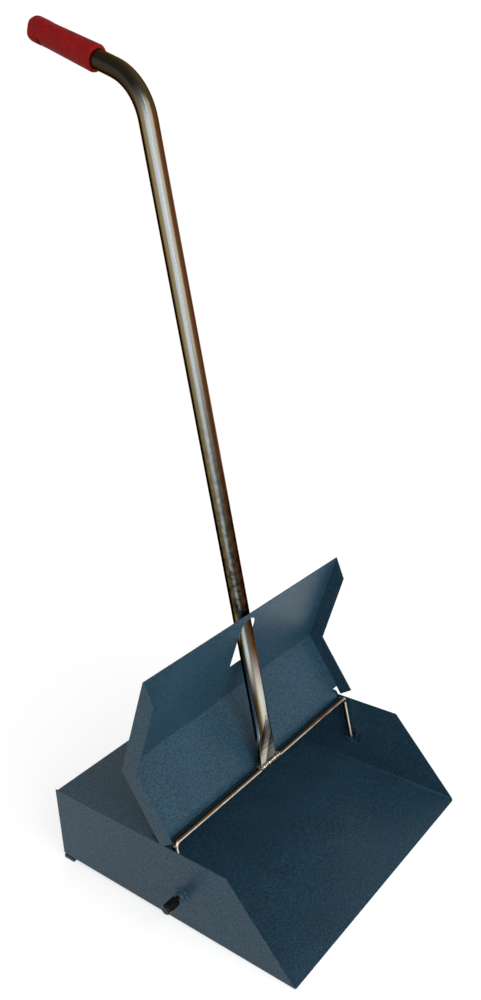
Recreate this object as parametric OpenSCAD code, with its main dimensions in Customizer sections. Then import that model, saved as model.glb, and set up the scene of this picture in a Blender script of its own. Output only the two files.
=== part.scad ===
// Lobby dustpan with a tilting lid, sheet steel pan and long bent handle
// Millimetres, +Z up, lip towards -Y, origin at the middle of the rear foot's underside

/* [Pan] */
// Width over the side walls
pan_w = 310; // [240:1:400]
// Depth from the lip to the back
pan_depth = 294; // [240:1:360]
// Height of the side walls' top edge above the ground
wall_h = 85.5; // [70:0.5:110]
// Steel sheet thickness
sheet = 1.0; // [0.7:0.1:1.5]
// Inside radius of the bends between floor and walls
bend_r = 2.0; // [1:0.1:4]
// Distance from the lip to the corner of the sloping wall front
corner_run = 72.2; // [50:0.2:100]
// Height of the floor's rear edge above the ground
floor_rise = 3.8; // [2:0.1:8]
// Width of the thinned lip strip
lip_w = 16; // [8:1:30]
// Thickness of the lip at its edge
lip_edge = 0.4; // [0.2:0.1:0.6]

/* [Handle pivot] */
// Distance of the bail pivot from the lip
pivot_run = 127.7; // [110:0.1:140]
// Height of the bail pivot
pivot_z = 36.6; // [25:0.1:50]
// Radius of the pressed dimple round the pivot hole
dimple_r = 10; // [8:0.5:14]
// Depth of the pressed dimple
dimple_d = 2.0; // [1:0.1:3]
// Radius of the plunged collar's end
collar_r = 5; // [4:0.1:7]
// Length of the plunged collar on the dimple
collar_len = 2.5; // [1:0.1:5]
// Running clearance of the rod in its hole, on the radius
pivot_clear = 0.08; // [0.02:0.01:0.1]

/* [Rear hood] */
// Distance of the hood's front edge from the lip
hood_run = 155.8; // [153:0.1:162]
// Depth of the hood's turned down flanges
hood_flange = 10; // [6:0.5:16]
// Radius of the bend between the hood's top and back, outside
hood_r = 4; // [2:0.5:8]
// Thickness of the hinge ears
ear_t = 1.6; // [1:0.1:3]
// Radius of the hinge ears
ear_r = 4.6; // [4:0.1:6]
// Set-back of the ears' inner faces from the side walls' outer faces
ear_inset = 6.5; // [5:0.1:10]

/* [Rear foot] */
// Depth of the foot strip under the rear edge
foot_w = 14; // [8:1:24]

/* [Lid] */
// Length of the lid's lower panel
lid_low = 73.4; // [70:0.2:76]
// Length of the lid's upper panel
lid_up = 114.4; // [112:0.2:120]
// Bend between the two panels
lid_bend = 53; // [50:0.5:56]
// Slope of the lower panel at rest, from the horizontal
lid_rest = 57.2; // [56.6:0.1:61]
// Clearance between the side walls and the lid's flanges
lid_side = 0.8; // [0.4:0.1:2]
// Width of the lid's side flanges
lid_flange = 17.4; // [12:0.2:24]
// How far the flange's free edge stops short of the panel's top
flange_cut = 19.6; // [10:0.2:30]
// Relief round the hinge ears, above the hinge
flange_gap = 5.5; // [5.2:0.1:12]
// How far the lid's lower edge runs on past the hinge
hem = 4.8; // [1:0.1:4.8]
// Start of the slot above the fold
slot_start = 46; // [40:0.5:46.5]
// Top of the slot above the fold
slot_end = 106; // [105.5:0.5:108]
// Clearance between the tube and the slot's sides
slot_side = 2.8; // [2.6:0.1:9]
// Radius of the hinge wire
wire_r = 2.0; // [1.5:0.1:2.5]
// Clearance round the hinge wire, on the radius
wire_clear = 0.05; // [0.02:0.01:0.1]
// Set-back of the hinge wire's ends from the side walls' outer faces
wire_in = 2.5; // [1:0.5:4]

/* [Bail] */
// Radius of the bail rod
rod_r = 3; // [2.5:0.1:3.2]
// Distance of the crossbar from the lip
bar_run = 136.9; // [136:0.1:139]
// Height of the crossbar
bar_z = 87.5; // [84:0.1:92]
// Distance of the bail's legs from the side walls' outer faces
leg_inset = 6.8; // [6.8:0.1:12]
// Bend radius of the rod, to its middle line
rod_bend = 5; // [4:0.5:5.5]
// Bare rod between the collar and the cap
rod_bare = 3.5; // [1:0.5:8]

/* [Handle] */
// Radius of the handle tube
tube_r = 9; // [7:0.1:10]
// Wall of the handle tube
tube_wall = 1.2; // [0.8:0.1:2]
// Backward lean of the tube
lean = 8.9; // [8.5:0.1:11]
// How far the tube's middle line lies behind the crossbar's
tube_set = -0.3; // [-0.8:0.1:1.5]
// Thickness of the tube's pinched end
pinch_t = 4; // [3:0.1:6]
// Length of the pinch
pinch_len = 68; // [55:1:70]
// Length from the crossbar to where the straight parts' middle lines would meet
reach = 669.5; // [500:0.5:800]
// Bend of the tube towards the grip
top_bend = 57.8; // [40:0.2:75]
// Radius of the tube's bend
tube_bend = 60; // [40:1:80]

/* [Grip] */
// Distance of the grip's mouth past the bend's corner
grip_start = 55.5; // [50:0.5:80]
// Length of the grip
grip_len = 85.5; // [70:0.5:130]
// Radius of the grip at its mouth
grip_r = 12.3; // [12:0.1:16]
// How much the grip's radius falls towards its end
grip_taper = 1.1; // [0:0.1:1.2]
// Length of the grip's flattened end
tang_len = 15.5; // [8:0.5:20]
// Thickness of the grip's flattened end
tang_t = 16.5; // [10:0.5:20]
// Depth of the notch under the grip's end
notch_d = 2; // [0.5:0.1:2.5]
// Number of ring grooves on the grip
groove_n = 6; // [0:1:9]
// Depth of the ring grooves
groove_d = 0.15; // [0.1:0.05:0.6]

/* [Caps and weld] */
// Radius of the pivot caps
cap_r = 5; // [4:0.1:6.5]
// Length of the pivot caps
cap_len = 15; // [14:0.5:25]
// Depth of rod inside a cap
cap_hold = 12; // [6:0.5:13]
// Length of the weld bead
weld_len = 33; // [28:1:40]
// Radius of the weld bead
weld_r = 2.6; // [2:0.1:3]
// Ripples along the weld bead
weld_n = 11; // [5:1:16]

/* [Hidden] */
$fn = 64;
// Step by which the tube's two ends stay inside its wall, where they run into it
lap = 0.05;
// Points in each ring of the pinched tube, and rings along its easing
ring_n = 40;
ring_steps = 10;
// Fit between pieces that sit on each other
seat = 0.03;
half = pan_w / 2;
y_lip = foot_w / 2 - pan_depth;
tilt = atan(floor_rise / pan_depth);
hood_len = pan_depth - hood_run;
hinge_run = hood_run - 5.2;
curl_r = wire_r + wire_clear + sheet;
hinge_z = wall_h + 0.3 + curl_r;
curl_half = half - ear_inset - 0.6;
lid_half = half + lid_side + sheet;
leg_half = half - leg_inset;
leg_len = norm([bar_run - pivot_run, bar_z - pivot_z]);
leg_lean = atan((bar_run - pivot_run) / (bar_z - pivot_z));
collar_x = half + dimple_d + collar_len;
cap_x = collar_x + rod_bare;
tangent = tube_bend * tan(top_bend / 2);
bend_z = reach - tangent;
tail = grip_start - tangent;
grip_end = tang_len + 9;
slot_w = 2 * (tube_r + slot_side);

// Place a run from the lip on the Y axis
function at(run) = run + y_lip;
// Underside of the floor above the ground at a run from the lip
function under(run) = run * floor_rise / pan_depth;
// Unit vector at an angle in the side view
function dir(a) = [cos(a), sin(a)];
// Half width of the tube where it is squeezed to a half thickness, its outline's length kept
function spread(h, r) = h + (2 * PI * r - 2 * PI * h) / 4;

// Side view outline carried across the width between two X values
module across(x0, x1) {
    translate([x0, 0, 0])
        rotate([90, 0, 90])
            linear_extrude(height = x1 - x0)
                children();
}

// Trough section of a width with rounded lower edges, carried along the sloping floor
module trough(w, z0, r, run0, run1) {
    translate([0, y_lip, 0])
        rotate([tilt, 0, 0])
            translate([0, run1, z0])
                rotate([90, 0, 0])
                    linear_extrude(height = run1 - run0) {
                        translate([-w / 2 + r, 0])
                            square([w - 2 * r, wall_h + 20]);
                        translate([-w / 2, r])
                            square([w, wall_h + 20 - r]);
                        translate([-w / 2 + r, r])
                            circle(r = r);
                        translate([w / 2 - r, r])
                            circle(r = r);
                    }
}

// Outline of a side wall, its lower edge left to the trough
module wall_outline() {
    drop = 10;
    polygon([
        [at(-drop * corner_run / wall_h), -drop],
        [at(pan_depth), -drop],
        [at(pan_depth), wall_h],
        [at(corner_run), wall_h]]);
}

// Floor and side walls folded from one sheet, with dimpled pivot holes
module pan_shell() {
    color([0.22, 0.31, 0.5])
    difference() {
        union() {
            difference() {
                intersection() {
                    trough(pan_w, 0, bend_r + sheet, -20, pan_depth + 20);
                    across(-half - 5, half + 5)
                        wall_outline();
                }
                trough(pan_w - 2 * sheet, sheet, bend_r, -30, pan_depth + 30);
                // The lip thins from its crease to its edge
                across(-half + sheet + bend_r, half - sheet - bend_r)
                    polygon([
                        [at(lip_w), under(lip_w) + sheet],
                        [at(-5), under(-5) + lip_edge - 5 * (sheet - lip_edge) / lip_w],
                        [at(-5), 8],
                        [at(lip_w), 8]]);
            }
            for (s = [-1, 1])
                translate([s * (half - sheet / 2), at(pivot_run), pivot_z])
                    rotate([0, s * 90, 0]) {
                        cylinder(r1 = dimple_r, r2 = dimple_r - dimple_d, h = dimple_d + sheet / 2);
                        cylinder(r1 = collar_r + 1.6, r2 = collar_r, h = dimple_d + collar_len + sheet / 2);
                    }
        }
        for (s = [-1, 1])
            translate([s * (half - sheet - 0.01), at(pivot_run), pivot_z])
                rotate([0, s * 90, 0]) {
                    cylinder(r1 = dimple_r - 0.5, r2 = dimple_r - dimple_d - 0.5, h = dimple_d);
                    cylinder(r = rod_r + pivot_clear, h = 30);
                }
    }
}

// Back and top of the pan's rear, one sheet tucked between the side walls, with the hinge ears
module rear_hood() {
    w = half - sheet - seat;
    y0 = at(pan_depth - hood_len);
    y1 = at(pan_depth);
    z0 = under(pan_depth) + sheet + seat;
    color([0.2, 0.28, 0.46])
    difference() {
        union() {
            // Top with its front edge turned down, and the back with a foot turned forward
            across(-w, w)
                difference() {
                    union() {
                        translate([y0, z0])
                            square([y1 - y0 - hood_r, wall_h - z0]);
                        translate([y0, z0])
                            square([y1 - y0, wall_h - z0 - hood_r]);
                        translate([y1 - hood_r, wall_h - hood_r])
                            circle(r = hood_r);
                    }
                    difference() {
                        union() {
                            translate([y0 + sheet, z0 - 5])
                                square([y1 - y0 - hood_r - sheet, wall_h - z0 + 5 - sheet]);
                            translate([y0 + sheet, z0 - 5])
                                square([y1 - y0 - 2 * sheet, wall_h - z0 + 5 - hood_r]);
                            translate([y1 - hood_r, wall_h - hood_r])
                                circle(r = hood_r - sheet);
                        }
                        polygon([
                            [y1 - sheet - hood_flange, z0 - 5],
                            [y1, z0 - 5],
                            [y1, under(pan_depth) + 2 * sheet + seat],
                            [y1 - sheet - hood_flange, under(pan_depth - hood_flange) + 2 * sheet + seat]]);
                    }
                    // Lower limits of the front edge and of the turned foot
                    translate([y0 - 5, z0 - 10])
                        square([10, wall_h - hood_flange - z0 + 10]);
                    polygon([
                        [y0, z0 - 10],
                        [y1 + 5, z0 - 10],
                        [y1 + 5, under(pan_depth + 5) + sheet + seat],
                        [y0, under(pan_depth - hood_len) + sheet + seat]]);
                }
            // Flanges turned down along the side walls
            for (s = [0, 1])
                mirror([s, 0, 0])
                    across(w - sheet, w)
                        translate([y0, wall_h - hood_flange])
                            square([hood_len - hood_r, hood_flange]);
            // Ears at the front corners for the lid's hinge wire
            for (s = [0, 1])
                mirror([s, 0, 0])
                    across(half - ear_inset, half - ear_inset + ear_t) {
                        translate([at(hinge_run), hinge_z])
                            circle(r = ear_r);
                        translate([at(hinge_run) - 0.3, wall_h - sheet / 2])
                            square([ear_r + 9, sheet / 2 + 2]);
                    }
        }
        across(-half - 10, half + 10)
            translate([at(hinge_run), hinge_z])
                circle(r = wire_r + wire_clear);
        // Lower corners cut clear of the bends between floor and walls
        for (s = [0, 1])
            mirror([s, 0, 0])
                across(half - sheet - bend_r - seat, half + 10)
                    translate([y0, -10])
                        square([hood_len + 10, 10 + under(pan_depth) + sheet + bend_r + seat]);
    }
}

// Strip under the rear edge that the pan rests on, flush with the back and the side walls
module rear_foot() {
    y0 = at(pan_depth - foot_w);
    y1 = at(pan_depth);
    color([0.22, 0.31, 0.5])
    across(-half, half)
        polygon([
            [y0, 0],
            [y1, 0],
            [y1, under(pan_depth) - seat],
            [y0, under(pan_depth - foot_w) - seat]]);
}

// Moves a lid drawn shut, hinge on the X axis and panel towards -Y, to where it rests
module lid_place() {
    translate([0, at(hinge_run), hinge_z])
        rotate([lid_rest - 180, 0, 0])
            children();
}

// Tilting lid, one folded sheet with a slot for the tube and a curl round the hinge wire
module lid_panel() {
    b1 = -curl_r;
    b2 = -curl_r + sheet;
    fold = [-lid_low, b1];
    up = dir(180 + lid_bend);
    out = dir(90 + lid_bend);
    ridge = [-lid_low - sheet * tan(lid_bend / 2), b2];
    crook = [-lid_low + (lid_flange - sheet) * tan(lid_bend / 2), b2 - lid_flange];
    color([0.25, 0.38, 0.62])
    lid_place()
    difference() {
        union() {
            // Both panels
            across(-lid_half, lid_half)
                polygon([
                    [-flange_gap, b1],
                    [-flange_gap, b2],
                    ridge,
                    fold + lid_up * up + sheet * out,
                    fold + lid_up * up,
                    fold]);
            // Lower edge between the hinge ears, hemmed past the wire and rolled round it
            across(-curl_half, curl_half) {
                translate([-flange_gap - 1, b1])
                    square([flange_gap + 1 + hem, sheet]);
                difference() {
                    circle(r = curl_r);
                    circle(r = curl_r - sheet);
                    translate([-curl_r - 1, b2])
                        square([curl_r + 1, curl_r - sheet]);
                }
            }
            // Side flanges outside the walls
            for (s = [0, 1])
                mirror([s, 0, 0])
                    across(lid_half - sheet, lid_half)
                        polygon([
                            [hem, b2],
                            ridge,
                            fold + lid_up * up + sheet * out,
                            fold + lid_up * up,
                            fold + (lid_up - flange_cut) * up + (sheet - lid_flange) * out,
                            crook,
                            [hem, b2 - lid_flange]]);
        }
        // Slot, flat at its start and round at its top
        translate([0, fold[0], fold[1]])
            rotate([lid_bend, 0, 0]) {
                translate([-slot_w / 2, -slot_end + slot_w / 2, -5])
                    cube([slot_w, slot_end - slot_w / 2 - slot_start, 10]);
                translate([0, -slot_end + slot_w / 2, -5])
                    cylinder(r = slot_w / 2, h = 10);
            }
    }
}

// Hinge wire gripped in the lid's curl and turning in the ears
module hinge_wire() {
    color([0.5, 0.5, 0.5])
    translate([wire_in - half, at(hinge_run), hinge_z])
        rotate([0, 90, 0])
            cylinder(r = wire_r, h = pan_w - 2 * wire_in);
}

// Half of the bail, drawn in the plane of its legs with the pivot on the X axis
module bail_half() {
    translate([0, 0, leg_len])
        rotate([0, 90, 0])
            cylinder(r = rod_r, h = leg_half - rod_bend);
    translate([leg_half - rod_bend, 0, leg_len - rod_bend])
        rotate([90, 0, 0])
            rotate_extrude(angle = 90)
                translate([rod_bend, 0])
                    circle(r = rod_r);
    translate([leg_half, 0, rod_bend])
        cylinder(r = rod_r, h = leg_len - 2 * rod_bend);
    translate([leg_half + rod_bend, 0, rod_bend])
        rotate([90, 0, 0])
            rotate([0, 0, 180])
                rotate_extrude(angle = 90)
                    translate([rod_bend, 0])
                        circle(r = rod_r);
    translate([leg_half + rod_bend, 0, 0])
        rotate([0, 90, 0])
            cylinder(r = rod_r, h = cap_x + cap_hold - leg_half - rod_bend);
}

// Bail bent from one rod: crossbar, two legs and ends turned out through the walls
module bail_rod() {
    color([0.75, 0.72, 0.66])
    translate([0, at(pivot_run), pivot_z])
        rotate([-leg_lean, 0, 0]) {
            bail_half();
            mirror([1, 0, 0])
                bail_half();
        }
}

// Moves a handle drawn with the crossbar on the X axis and its tube upright to its lean
module handle_place() {
    translate([0, at(bar_run), bar_z])
        rotate([-lean, 0, 0])
            children();
}

// Half thickness along the pinch, flat at first and then easing out to the full radius
function squeeze(h, r, z) = h + (r - h) * (1 - cos(180 * max(0, min(1, (z / pinch_len - 0.2) / 0.8)))) / 2;
// One ring of the pinched tube: two half circles held apart so that its length stays the tube's
function ring(h, r, z) = [for (i = [0 : ring_n - 1])
    let (a = (i + 0.5) * 360 / ring_n)
    [sign(cos(a)) * (spread(h, r) - h) + h * cos(a), tube_set + h * sin(a), z]];

// Pinched lower end as a loft through rings, for the tube's outside or its bore
module pinch(r, h, low, past) {
    zs = concat(
        [low, pinch_len * 0.2],
        [for (i = [1 : ring_steps]) pinch_len * (0.2 + 0.8 * i / ring_steps)],
        [pinch_len + past]);
    m = len(zs);
    polyhedron(
        points = [for (z = zs) each ring(squeeze(h, r, z), r, z)],
        faces = concat(
            [[for (i = [0 : ring_n - 1]) i]],
            [for (k = [0 : m - 2], i = [0 : ring_n - 1])
                let (j = (i + 1) % ring_n)
                each [
                    [k * ring_n + i, (k + 1) * ring_n + j, k * ring_n + j],
                    [k * ring_n + i, (k + 1) * ring_n + i, (k + 1) * ring_n + j]]],
            [[for (i = [ring_n - 1 : -1 : 0]) (m - 1) * ring_n + i]]));
}

// Straight and bend of the tube, for its outside or its bore
module run_of_tube(r) {
    translate([0, tube_set, pinch_len])
        cylinder(r = r, h = bend_z - pinch_len);
    translate([0, tube_set + tube_bend, bend_z])
        rotate([90, 0, -90])
            rotate_extrude(angle = top_bend)
                translate([tube_bend, 0])
                    circle(r = r);
}

// Moves a piece drawn upright from the bend's upper end to its place in the handle
module tail_place() {
    translate([0, tube_set + tube_bend * (1 - cos(top_bend)), bend_z + tube_bend * sin(top_bend)])
        rotate([-top_bend, 0, 0])
            children();
}

// Handle tube, pinched and saddled on the crossbar, bent back under the grip
module handle_tube() {
    color([0.78, 0.75, 0.69])
    handle_place()
    difference() {
        union() {
            difference() {
                pinch(tube_r - lap, pinch_t / 2, 0, 0.5);
                pinch(tube_r - tube_wall + lap, pinch_t / 2 - tube_wall + lap, -1, 2);
            }
            difference() {
                run_of_tube(tube_r);
                run_of_tube(tube_r - tube_wall);
            }
            tail_place()
                translate([0, 0, -0.5])
                    linear_extrude(height = 0.5 + tail + grip_len - grip_end - seat)
                        difference() {
                            circle(r = tube_r - lap);
                            circle(r = tube_r - tube_wall + lap);
                        }
        }
        rotate([0, 90, 0])
            cylinder(r = rod_r + seat, h = 80, center = true);
    }
}

// Rippled weld bead before and behind the tube's end, joined round its two edges
module handle_weld() {
    pitch = weld_len / weld_n;
    edge = spread(pinch_t / 2, tube_r);
    color([0.62, 0.6, 0.56])
    handle_place()
    difference() {
        union() {
            for (side = [-1, 1])
                translate([-weld_len / 2, tube_set + side * (pinch_t / 2 + 0.5), rod_r - 0.3])
                    rotate([0, 90, 0])
                        rotate_extrude()
                            polygon(concat(
                                [[0, 0]],
                                [for (i = [0 : weld_n - 1]) each [
                                    [weld_r - 0.5, i * pitch],
                                    [weld_r, (i + 0.5) * pitch]]],
                                [[weld_r - 0.5, weld_len], [0, weld_len]]));
            for (side = [-1, 1])
                translate([side * (edge + 1), tube_set, rod_r - 0.5])
                    sphere(r = weld_r + 0.5);
        }
        rotate([0, 90, 0])
            cylinder(r = rod_r + seat, h = 80, center = true);
        translate([0, tube_set, -10])
            linear_extrude(height = 30) {
                for (side = [-1, 1])
                    translate([side * (edge - pinch_t / 2), 0])
                        circle(r = pinch_t / 2 + seat);
                square([2 * edge - pinch_t, pinch_t + 2 * seat], center = true);
            }
    }
}

// Soft grip pushed on the tube's end, with ring grooves and a closed end flattened at both sides
module handle_grip() {
    end_r = grip_r - grip_taper + 0.4;
    groove_step = (grip_len - tang_len - 21) / max(groove_n - 1, 1);
    color([0.72, 0.09, 0.08])
    handle_place()
    tail_place()
    translate([0, 0, tail])
    difference() {
        rotate_extrude()
            polygon([
                [tube_r + seat, 0],
                [grip_r - 1.6, 0],
                [grip_r - 0.5, 0.5],
                [grip_r, 1.8],
                [end_r - 0.4, grip_len - tang_len - 8],
                [end_r, grip_len - tang_len],
                [end_r, grip_len - 4.4],
                [end_r - 0.4, grip_len - 2.6],
                [end_r - 1.4, grip_len - 1],
                [end_r - 2.8, grip_len - 0.2],
                [end_r - 4, grip_len],
                [0, grip_len - 1],
                [0, grip_len - grip_end],
                [tube_r + seat, grip_len - grip_end]]);
        for (i = [0 : 1 : groove_n - 1])
            translate([0, 0, 9 + i * groove_step])
                rotate_extrude()
                    translate([grip_r - grip_taper * (9 + i * groove_step) / grip_len + 1.2 - groove_d, 0])
                        circle(r = 1.2);
        // Flats either side of the end
        for (s = [0, 1])
            mirror([s, 0, 0])
                translate([tang_t / 2, -grip_r - 5, grip_len - tang_len])
                    cube([grip_r, 2 * grip_r + 10, tang_len + 5]);
        // Notch under the end where the round body stops
        translate([0, 0, grip_len - tang_len])
            rotate([0, 0, 20])
                rotate_extrude(angle = 140)
                    polygon([
                        [end_r - notch_d, -2.5],
                        [end_r + 5, -10.5],
                        [end_r + 5, 2],
                        [end_r - notch_d, 1.5]]);
    }
}

// Cap pushed on a rod end, drawn on the right
module pivot_cap() {
    color([0.06, 0.06, 0.06])
    translate([cap_x, at(pivot_run), pivot_z])
        rotate([0, 90, 0])
            rotate_extrude()
                polygon([
                    [rod_r + seat, 0],
                    [cap_r, 0],
                    [cap_r, cap_len - 1.2],
                    [cap_r - 1.2, cap_len],
                    [0, cap_len],
                    [0, cap_hold + seat],
                    [rod_r + seat, cap_hold + seat]]);
}

module pivot_cap_right() {
    pivot_cap();
}

module pivot_cap_left() {
    mirror([1, 0, 0])
        pivot_cap();
}

pan_shell();
rear_hood();
rear_foot();
lid_panel();
hinge_wire();
bail_rod();
handle_tube();
handle_weld();
handle_grip();
pivot_cap_left();
pivot_cap_right();
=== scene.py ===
import bpy
from mathutils import Matrix, Vector

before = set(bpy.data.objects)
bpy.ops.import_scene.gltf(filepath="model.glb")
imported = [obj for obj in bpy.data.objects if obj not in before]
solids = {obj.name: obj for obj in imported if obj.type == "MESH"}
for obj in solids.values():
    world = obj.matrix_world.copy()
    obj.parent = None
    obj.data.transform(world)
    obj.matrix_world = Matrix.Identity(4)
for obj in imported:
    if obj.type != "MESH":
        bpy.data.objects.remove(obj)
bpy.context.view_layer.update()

# Pan: floor and side walls are one sheet of 1 mm steel folded up along two bends, with a thinned
# lip and two pressed pivot dimples. Hood and rear foot are two more pieces, spot-welded between
# and under the walls, and all three are sprayed together in a hammered blue enamel.


def feed(tree, node, inputs):
    """Fills a shader node's inputs, given as values or as other nodes' outputs."""
    for name, value in inputs.items():
        if isinstance(value, bpy.types.NodeSocket):
            tree.links.new(value, node.inputs[name])
        else:
            node.inputs[name].default_value = value


def put(tree, kind, inputs=None, **fields):
    """Adds one shader node with the given fields and inputs."""
    made = tree.nodes.new(kind)
    for field, value in fields.items():
        setattr(made, field, value)
    feed(tree, made, inputs or {})
    return made


def ramp(tree, factor, stops):
    """Adds a colour ramp with the given (place, colour) stops and returns its colour."""
    made = put(tree, "ShaderNodeValToRGB", {"Fac": factor})
    marks = made.color_ramp.elements
    while len(marks) < len(stops):
        marks.new(0.5)
    for mark, (place, colour) in zip(marks, stops):
        mark.position = place
        mark.color = (*colour, 1.0)
    return made.outputs["Color"]


def mix(tree, factor, a, b, blend="MIX"):
    """Adds a colour mix and returns its result."""
    made = put(tree, "ShaderNodeMix", {0: factor, 6: a, 7: b}, data_type="RGBA", blend_type=blend)
    return made.outputs[2]


def noise(tree, place, scale, detail):
    """Adds a noise and returns its grey value."""
    made = put(tree, "ShaderNodeTexNoise", {"Vector": place, "Scale": scale, "Detail": detail})
    return made.outputs["Fac"]


def number(tree, operation, *values):
    """Adds one sum on numbers and returns its result."""
    return put(tree, "ShaderNodeMath", dict(enumerate(values)), operation=operation).outputs[0]


def stretch(tree, value, start, end, low=0.0, high=1.0, blend="LINEAR"):
    """Carries the stretch of a value from start to end over to low and high."""
    ends = {"Value": value, "From Min": start, "From Max": end, "To Min": low, "To Max": high}
    return put(tree, "ShaderNodeMapRange", ends, interpolation_type=blend).outputs["Result"]


def relief(tree, height, strength, depth):
    """Adds a fine relief and returns its normal."""
    made = put(tree, "ShaderNodeBump", {"Height": height, "Strength": strength, "Distance": depth})
    return made.outputs["Normal"]


def finish(name):
    """Starts a procedural finish and returns it with its node tree, shader and coordinates."""
    made = bpy.data.materials.new(name)
    made.use_nodes = True
    tree = made.node_tree
    return made, tree, tree.nodes["Principled BSDF"], put(tree, "ShaderNodeTexCoord").outputs


def dress(node, material, edge=0.0):
    """Gives a solid its finish, and breaks its sharp edges where a width is given."""
    solid = solids[node]
    solid.data.materials.clear()
    solid.data.materials.append(material)
    if edge:
        weld = solid.modifiers.new("joined", "WELD")
        weld.merge_threshold = 0.00001
        broken = solid.modifiers.new("broken_edge", "BEVEL")
        broken.width = edge
        broken.segments = 2
        broken.limit_method = "ANGLE"
        broken.angle_limit = 0.6


sheet_edge = 0.00025
enamel_dark = (0.0105, 0.0355, 0.0595)
enamel_light = (0.0345, 0.086, 0.1275)
hammer_cell = 0.0019
cell_share = 0.36
grain_share = 0.96
hammered_blue, tree, shader, where = finish("hammered_blue")
cells = put(tree, "ShaderNodeTexVoronoi",
            {"Vector": where["Object"], "Scale": 1 / hammer_cell, "Smoothness": 0.7}, feature="SMOOTH_F1")
grain = number(tree, "MULTIPLY", noise(tree, where["Object"], 700.0, 3.0), grain_share)
cloud = noise(tree, where["Object"], 16.0, 4.0)
flow = number(tree, "MULTIPLY_ADD", cells.outputs["Distance"], cell_share, grain)
tone = ramp(tree, flow, [(0.46, enamel_dark), (0.82, enamel_light)])
shade = ramp(tree, cloud, [(0.3, (0.82, 0.82, 0.82)), (0.7, (1.0, 1.0, 1.0))])
feed(tree, shader, {
    "Base Color": mix(tree, 1.0, tone, shade, "MULTIPLY"),
    "Roughness": stretch(tree, cloud, 0.0, 1.0, 0.3, 0.42),
    "Normal": relief(tree, flow, 0.35, 0.0006),
    "Specular IOR Level": 0.2})
for node in ("pan_shell", "rear_hood", "rear_foot"):
    dress(node, hammered_blue, sheet_edge)

# Lid: one sheet folded across its middle and along both sides, slotted for the tube and rolled
# round the hinge wire near its lower edge. Lid and wire are sprayed with the pan.
dress("lid_panel", hammered_blue, sheet_edge)
dress("hinge_wire", hammered_blue)

# Bail: one 6 mm rod bent to a crossbar, two legs and two ends turned out through the walls.
# It is plated. Its colour runs round the rod with the way the surface faces: a painted highlight along
# the side facing front and down, and painted brown reflection and shade round its back.


def round_the_bar(tree, normal, side, wander, sway):
    """Gives 0 to 1 from one side of a round bar to the other, swayed by a noise."""
    towards = put(tree, "ShaderNodeVectorMath", {0: normal, 1: side}, operation="DOT_PRODUCT")
    swayed = number(tree, "ADD", towards.outputs["Value"], stretch(tree, wander, 0.0, 1.0, -sway, sway))
    return stretch(tree, swayed, -1.0, 1.0)


bail_highlight_facing = (0.0, -0.763, -0.645)
bail_plate, tree, shader, where = finish("bail_plate")
spots = noise(tree, where["Object"], 130.0, 5.0)
# Colour keyed to the surface's facing: painted highlight band towards the front and down, painted brown
# reflection and shade elsewhere
bail_sheen_and_shade = ramp(tree, round_the_bar(tree, where["Normal"], bail_highlight_facing, spots, 0.25), [
    (0.02, (0.05, 0.028, 0.016)),
    (0.2, (0.17, 0.095, 0.05)),
    (0.55, (0.22, 0.13, 0.075)),
    (0.68, (0.36, 0.28, 0.2)),
    (0.78, (0.7, 0.67, 0.61)),
    (0.92, (0.66, 0.62, 0.56)),
    (1.0, (0.36, 0.3, 0.24))])
feed(tree, shader, {
    "Base Color": bail_sheen_and_shade,
    "Metallic": 1.0,
    "Roughness": stretch(tree, spots, 0.0, 1.0, 0.1, 0.22)})
dress("bail_rod", bail_plate)

# Handle tube: 18 mm plated steel tube, pinched flat and saddled on the crossbar, bent back under
# the grip. Its colour is painted in bands round the tube, keyed to the way the surface faces: a painted
# highlight along one side, painted gold, brown and near-black reflections along the others.
# It is soiled above the lid, and below the grip has painted shade at both flanks and painted gold sheen
# on top and below.
tube_lean = 0.1553
tube_highlight_facing = (0.611, -0.79, 0.0)
tube_plate, tree, shader, where = finish("tube_plate")
along = put(tree, "ShaderNodeMapping", {"Vector": where["Object"], "Rotation": (tube_lean, 0.0, 0.0)})
along = along.outputs["Vector"]
height = put(tree, "ShaderNodeSeparateXYZ", {"Vector": along}).outputs["Z"]
drawn = put(tree, "ShaderNodeMapping", {"Vector": along, "Scale": (420.0, 420.0, 9.0)})
streak = noise(tree, drawn.outputs["Vector"], 1.0, 5.0)
# Painted bands round the tube by facing: silver painted highlight, gold and brown painted reflections,
# near-black painted reflections at the edges
painted_reflection_bands = ramp(tree, round_the_bar(tree, where["Normal"], tube_highlight_facing, streak, 0.09), [
    (0.0, (0.34, 0.31, 0.25)),
    (0.015, (0.26, 0.21, 0.13)),
    (0.04, (0.012, 0.006, 0.003)),
    (0.13, (0.03, 0.016, 0.007)),
    (0.21, (0.22, 0.175, 0.075)),
    (0.34, (0.27, 0.22, 0.12)),
    (0.41, (0.5, 0.52, 0.53)),
    (0.52, (0.5, 0.56, 0.61)),
    (0.6, (0.125, 0.12, 0.1)),
    (0.73, (0.1, 0.088, 0.064)),
    (0.81, (0.115, 0.05, 0.022)),
    (0.95, (0.095, 0.04, 0.019)),
    (0.98, (0.3, 0.24, 0.16)),
    (1.0, (0.38, 0.36, 0.32))])

# Soiled stretch: clean below the first pair of heights and above the second
soil_foot = (0.19, 0.24)
soil_top = (0.29, 0.5)
soil = ramp(tree, noise(tree, along, 190.0, 6.0), [(0.38, (0.13, 0.13, 0.12)), (0.62, (0.5, 0.48, 0.43))])
clean_below = stretch(tree, height, *soil_foot, 1.0, 0.0)
clean = number(tree, "MAXIMUM", clean_below, stretch(tree, height, *soil_top))
plate = mix(tree, 1.0, painted_reflection_bands, mix(tree, clean, soil, (1.0, 1.0, 1.0, 1.0)), "MULTIPLY")
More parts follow.
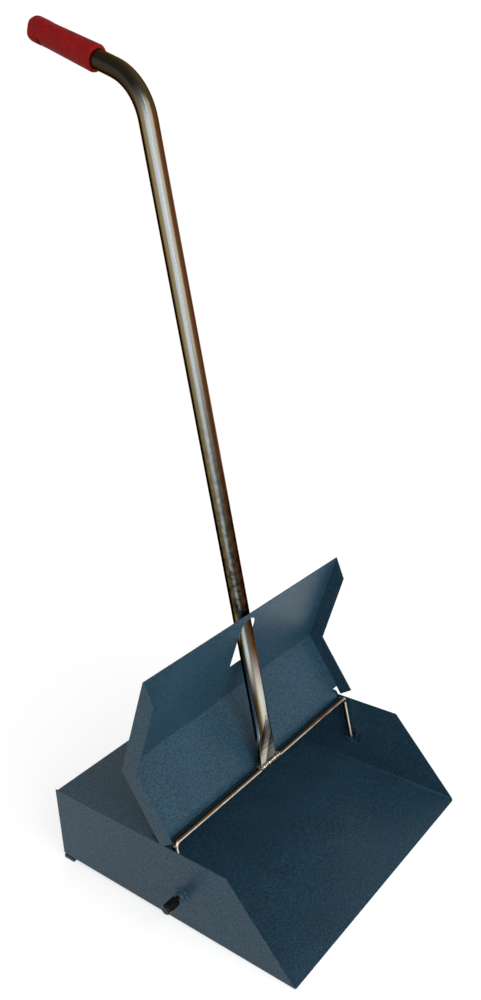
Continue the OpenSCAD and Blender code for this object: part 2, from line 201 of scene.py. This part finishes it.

# Pinched end: a painted highlight, with a painted blue reflection beside it and painted dark bands
# between, climbs along a slanted line across the flat and runs on up the tube's right side
low_end = (0.14, 0.2)
tube_axis = 0.1278
flat_foot = 0.066
crease_slope = 0.34
crease_foot = tube_axis - 0.0055 - crease_slope * flat_foot
crease_top = tube_axis + 0.006
crease_reach = 0.016
spread = put(tree, "ShaderNodeVectorMath", {0: along, 1: tube_highlight_facing}, operation="DOT_PRODUCT")
climb = number(tree, "MULTIPLY_ADD", height, crease_slope, crease_foot)
off_highlight_line = number(tree, "SUBTRACT", spread.outputs["Value"], number(tree, "MINIMUM", climb, crease_top))
# Painted highlight, painted blue reflection and painted dark bands either side of the slanted line
pinch_painted_highlights = ramp(tree, stretch(tree, off_highlight_line, -crease_reach, crease_reach), [
    (0.12, (0.04, 0.026, 0.016)),
    (0.15, (0.3, 0.42, 0.52)),
    (0.2, (0.28, 0.38, 0.47)),
    (0.235, (0.05, 0.034, 0.02)),
    (0.33, (0.06, 0.042, 0.025)),
    (0.38, (0.26, 0.225, 0.115)),
    (0.44, (0.54, 0.53, 0.48)),
    (0.565, (0.58, 0.57, 0.52)),
    (0.595, (0.11, 0.1, 0.09)),
    (0.8, (0.19, 0.19, 0.185))])
plate = mix(tree, stretch(tree, height, *low_end, 1.0, 0.0, "SMOOTHSTEP"), plate, pinch_painted_highlights)

# Stretch below the grip: painted shade at both flanks and painted gold sheen on top and below, keyed to
# the way the surface faces
grip_tail_part = (0.695, 0.735)
facing = put(tree, "ShaderNodeSeparateXYZ", {"Vector": where["Normal"]})
# Painted shade at the flanks, painted gold sheen where the surface faces up or down
flank_shade_and_top_sheen = ramp(tree, number(tree, "ABSOLUTE", facing.outputs["X"]), [
    (0.05, (0.24, 0.19, 0.09)),
    (0.35, (0.13, 0.105, 0.06)),
    (0.7, (0.055, 0.045, 0.032)),
    (1.0, (0.04, 0.033, 0.024))])
feed(tree, shader, {
    "Base Color": mix(tree, stretch(tree, height, *grip_tail_part, blend="SMOOTHSTEP"), plate, flank_shade_and_top_sheen),
    "Metallic": 1.0,
    "Specular Tint": (0.3, 0.2, 0.13, 1.0),
    "Roughness": stretch(tree, streak, 0.0, 1.0, 0.16, 0.32)})
dress("handle_tube", tube_plate)

# Weld: a rippled bead run along both sides of the tube's flat end, plated over with the rest,
# with brown heat tint left between its ripples.
weld_plate, tree, shader, where = finish("weld_plate")
lumps = noise(tree, where["Object"], 500.0, 4.0)
heat_tint = ramp(tree, lumps, [
    (0.35, (0.14, 0.08, 0.05)),
    (0.5, (0.4, 0.34, 0.27)),
    (0.68, (0.72, 0.7, 0.66))])
feed(tree, shader, {
    "Base Color": heat_tint,
    "Metallic": 1.0,
    "Roughness": 0.32,
    "Normal": relief(tree, lumps, 0.6, 0.0008)})
dress("handle_weld", weld_plate)

# Grip: a soft red plastic sleeve dipped and pushed on the tube's end, with faint rings round it
# and a closed end pressed flat at both sides.
grip_edge = 0.0003
red_sleeve, tree, shader, where = finish("red_sleeve")
mottle = noise(tree, where["Object"], 160.0, 5.0)
pores = noise(tree, where["Object"], 1500.0, 2.0)
feed(tree, shader, {
    "Base Color": ramp(tree, mottle, [(0.3, (0.175, 0.003, 0.0035)), (0.7, (0.245, 0.006, 0.0065))]),
    "Roughness": stretch(tree, mottle, 0.0, 1.0, 0.6, 0.75),
    "Specular IOR Level": 0.1,
    "Normal": relief(tree, pores, 0.12, 0.0003)})
dress("handle_grip", red_sleeve, grip_edge)

# Caps: two black moulded caps pushed on the rod's ends, which keep the bail in its holes.
# They are glossy, with dull scuffs.
cap_edge = 0.0002
black_cap, tree, shader, where = finish("black_cap")
scuff = noise(tree, where["Object"], 420.0, 4.0)
feed(tree, shader, {
    "Base Color": ramp(tree, scuff, [(0.4, (0.004, 0.004, 0.004)), (0.75, (0.014, 0.013, 0.013))]),
    "Roughness": stretch(tree, scuff, 0.0, 1.0, 0.12, 0.26),
    "Specular IOR Level": 0.2})
for node in ("pivot_cap_left", "pivot_cap_right"):
    dress(node, black_cap, cap_edge)

# Studio: a pale floor that fades into a white surround, a large soft lamp in front, a weaker one
# behind, and the camera where the photograph was taken from.
floor_half = 4.0
floor_lift = 0.68
floor_fade = (0.6, 1.5)
mesh = bpy.data.meshes.new("floor")
mesh.from_pydata([(-floor_half, -floor_half, 0), (floor_half, -floor_half, 0),
                  (floor_half, floor_half, 0), (-floor_half, floor_half, 0)], [], [(0, 1, 2, 3)])
floor = bpy.data.objects.new("floor", mesh)
bpy.context.scene.collection.objects.link(floor)
pale_floor, tree, shader, where = finish("pale_floor")
rays = put(tree, "ShaderNodeLightPath").outputs
seen = number(tree, "MAXIMUM", rays["Is Camera Ray"], rays["Is Glossy Ray"])
seen = number(tree, "MAXIMUM", seen, rays["Is Transmission Ray"])
far = put(tree, "ShaderNodeVectorMath", {0: where["Object"]}, operation="LENGTH").outputs["Value"]
feed(tree, shader, {
    "Base Color": (0.5, 0.5, 0.5, 1.0),
    "Roughness": 0.9,
    "Specular IOR Level": 0.1,
    "Emission Color": (1.0, 1.0, 1.0, 1.0),
    "Emission Strength": number(tree, "MULTIPLY", seen, floor_lift),
    "Alpha": stretch(tree, far, *floor_fade, 1.0, 0.0, "SMOOTHSTEP")})
mesh.materials.append(pale_floor)

sky_fade = (0.28, 0.5)
sky_top = 0.3
surround = bpy.data.worlds.new("surround")
bpy.context.scene.world = surround
surround.use_nodes = True
tree = surround.node_tree
sky = put(tree, "ShaderNodeTexCoord").outputs["Generated"]
sky_height = put(tree, "ShaderNodeSeparateXYZ", {"Vector": sky}).outputs["Z"]
feed(tree, tree.nodes["Background"], {
    "Color": (1.0, 1.0, 1.0, 1.0),
    "Strength": stretch(tree, sky_height, *sky_fade, 1.0, sky_top, "SMOOTHSTEP")})

lamp_target = Vector((0.0, -0.1, 0.2))
lamps = (("front_lamp", 46.0, 2.0, (-0.6, -2.1, 1.4)),
         ("rear_lamp", 7.0, 2.5, (1.1, 1.35, 1.45)))
for name, power, width, spot in lamps:
    lamp = bpy.data.lights.new(name, "AREA")
    lamp.energy = power
    lamp.size = width
    lamp_stand = bpy.data.objects.new(name, lamp)
    bpy.context.scene.collection.objects.link(lamp_stand)
    lamp_stand.location = spot
    lamp_aim = lamp_target - lamp_stand.location
    lamp_stand.rotation_euler = lamp_aim.to_track_quat("-Z", "Y").to_euler()

camera_place = (-0.65098, -0.65498, 0.68295)
camera_right = Vector((0.61088, -0.79006, -0.05130))
camera_down = Vector((-0.30200, -0.17264, -0.93755))
camera_ahead = Vector((0.73186, 0.58822, -0.34406))
lens = bpy.data.cameras.new("camera")
lens.sensor_width = 36.0
lens.lens = 33.7126
camera = bpy.data.objects.new("camera", lens)
bpy.context.scene.collection.objects.link(camera)
turn = Matrix((camera_right, -camera_down, -camera_ahead)).transposed()
camera.matrix_world = Matrix.Translation(camera_place) @ turn.to_4x4()
bpy.context.scene.camera = camera
bpy.context.scene.view_settings.view_transform = "Standard"
